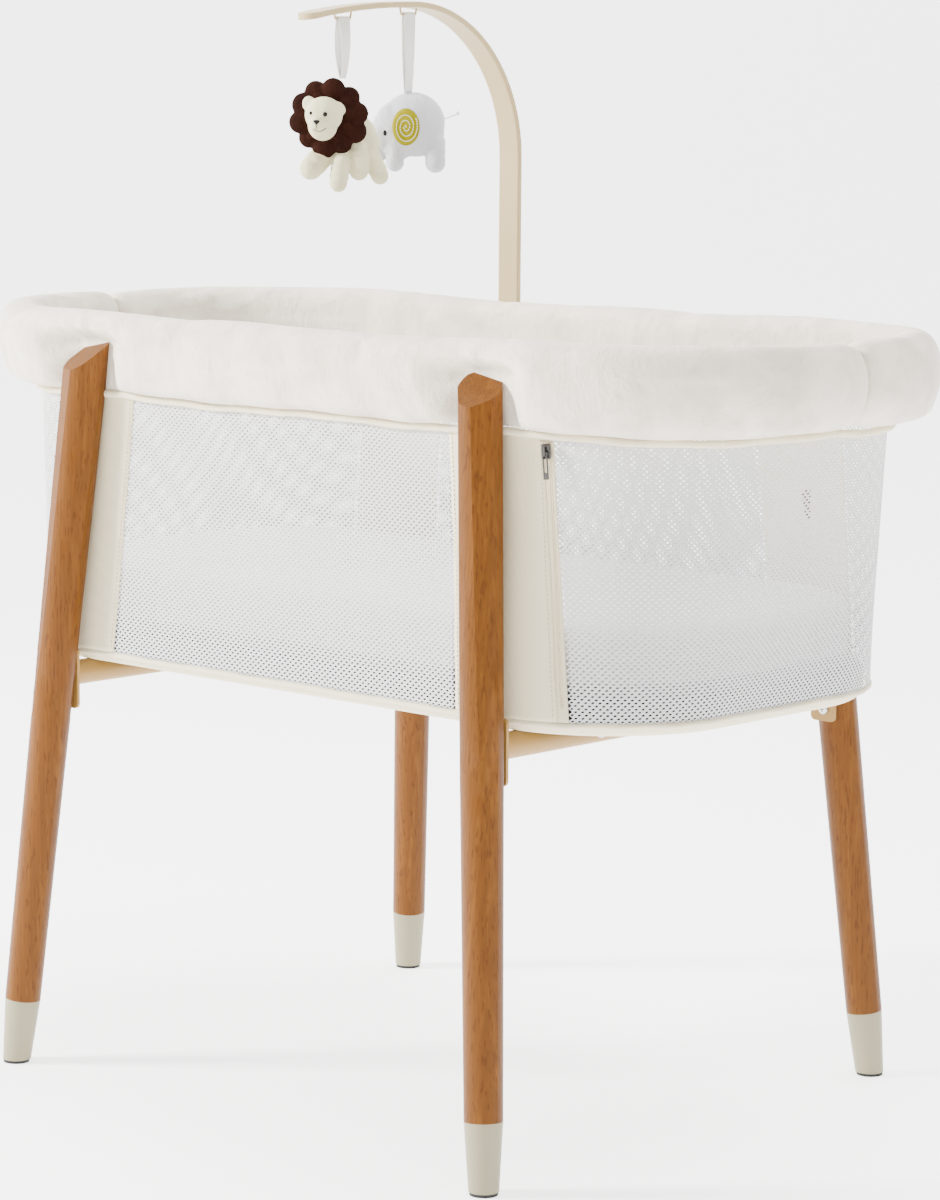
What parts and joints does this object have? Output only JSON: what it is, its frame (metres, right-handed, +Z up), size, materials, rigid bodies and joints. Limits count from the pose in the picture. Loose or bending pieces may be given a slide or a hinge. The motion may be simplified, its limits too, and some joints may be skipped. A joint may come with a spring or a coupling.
{
  "type": "moses basket",
  "caption": "Bedside baby basket with net walls and a padded rim on a splayed wooden stand, with a mattress and a lift-out arm of hanging toys.",
  "frame": {"origin": "on the floor, under the centre of the basket", "axes": "X along the basket's long axis, Y from the front to the rear where the toy arm stands, Z up"},
  "size_m": [1.004, 0.5724, 1.022],
  "materials": {
    "beech": "clear satin varnish over turned and planed beech",
    "sleeve_plastic": "moulded, light stone colour",
    "glide_rubber": "dark, moulded",
    "frame_paint": "tan powder coat",
    "ring_paint": "dark powder coat",
    "zinc": "bright zinc",
    "plug_plastic": "moulded, black",
    "board": "dark stiff board",
    "liner_cloth": "woven polyester",
    "net": "knitted polyester net with staggered oval holes",
    "strip_cloth": "cream woven cloth",
    "plush": "short-pile off-white plush over foam",
    "mattress_cover": "white knitted cover over foam",
    "zip_tape": "cream tape with nylon coil teeth",
    "zip_metal": "dark nickel",
    "arm_plastic": "moulded, cream",
    "ribbon": "white satin ribbon",
    "lion_plush": "cream knitted plush",
    "mane_felt": "dark brown plush",
    "elephant_plush": "pale grey plush",
    "ear_felt": "yellow-green felt with stitched spiral"
  },
  "bodies": {
    "basket": {"arm_socket": "arm_plastic", "base_board": "board", "base_bow_left": "ring_paint", "base_bow_right": "ring_paint", "base_liner": "liner_cloth", "base_piping": "strip_cloth", "base_rail_front": "ring_paint", "base_rail_rear": "ring_paint", "bracket_screws": "zinc", "collar_front": "plush", "collar_piping": "strip_cloth", "collar_rear": "plush", "cross_tube_left": "frame_paint", "cross_tube_right": "frame_paint", "foot_glide_front_left": "glide_rubber", "foot_glide_front_right": "glide_rubber", "foot_glide_rear_left": "glide_rubber", "foot_glide_rear_right": "glide_rubber", "foot_sleeve_front_left": "sleeve_plastic", "foot_sleeve_front_right": "sleeve_plastic", "foot_sleeve_rear_left": "sleeve_plastic", "foot_sleeve_rear_right": "sleeve_plastic", "leg_bracket_front_left": "frame_paint", "leg_bracket_front_right": "frame_paint", "leg_bracket_rear_left": "frame_paint", "leg_bracket_rear_right": "frame_paint", "leg_front_left": "beech", "leg_front_right": "beech", "leg_rear_left": "beech", "leg_rear_right": "beech", "leg_strip_front_left": "strip_cloth", "leg_strip_front_right": "strip_cloth", "leg_strip_rear_left": "strip_cloth", "leg_strip_rear_right": "strip_cloth", "mesh_panel_front": "net", "mesh_panel_left": "net", "mesh_panel_rear": "net", "mesh_panel_right": "net", "ring_bolts": "zinc", "ring_tube_front": "frame_paint", "ring_tube_rear": "frame_paint", "socket_screws": "zinc", "stretcher_bolts": "zinc", "stretcher_front": "frame_paint", "stretcher_plugs": "plug_plastic", "stretcher_rear": "frame_paint", "zip_tape": "zip_tape"},
    "arm": {"toy_arm": "arm_plastic", "lion_hanger": "arm_plastic", "elephant_hanger": "arm_plastic"},
    "lion": {"lion_ribbon": "ribbon", "lion_mane": "mane_felt", "lion_head": "lion_plush", "lion_body": "lion_plush"},
    "elephant": {"elephant_ribbon": "ribbon", "elephant_body": "elephant_plush", "elephant_ear": "ear_felt"},
    "mattress": {"mattress": "mattress_cover"},
    "zip_slider": {"zip_slider": "zip_metal"},
    "zip_pull": {"zip_pull": "zip_metal"}
  },
  "joints": [
    {"name": "mattress_lift", "type": "slide", "parent": "basket", "child": "mattress", "axis": [0, 0, 1], "range_m": [0, 0.32]},
    {"name": "arm_lift", "type": "slide", "parent": "basket", "child": "arm", "axis": [0, 0, 1], "range_m": [0, 0.12]},
    {"name": "lion_swing", "type": "hinge", "parent": "arm", "child": "lion", "pos_m": [-0.165, 0.026, 1.004], "axis": [0, 1, 0], "range_deg": [-35, 35]},
    {"name": "elephant_swing", "type": "hinge", "parent": "arm", "child": "elephant", "pos_m": [-0.165, 0.117, 1.0095], "axis": [0, 1, 0], "range_deg": [-35, 35]},
    {"name": "zip_slide", "type": "slide", "parent": "basket", "child": "zip_slider", "axis": [0.0812, -0.004, -0.9967], "range_m": [0, 0.205]},
    {"name": "zip_pull_swing", "type": "hinge", "parent": "zip_slider", "child": "zip_pull", "pos_m": [0.31779, -0.21291, 0.63503], "axis": [-0.9366, -0.3409, -0.0812], "range_deg": [0, 50]}
  ]
}
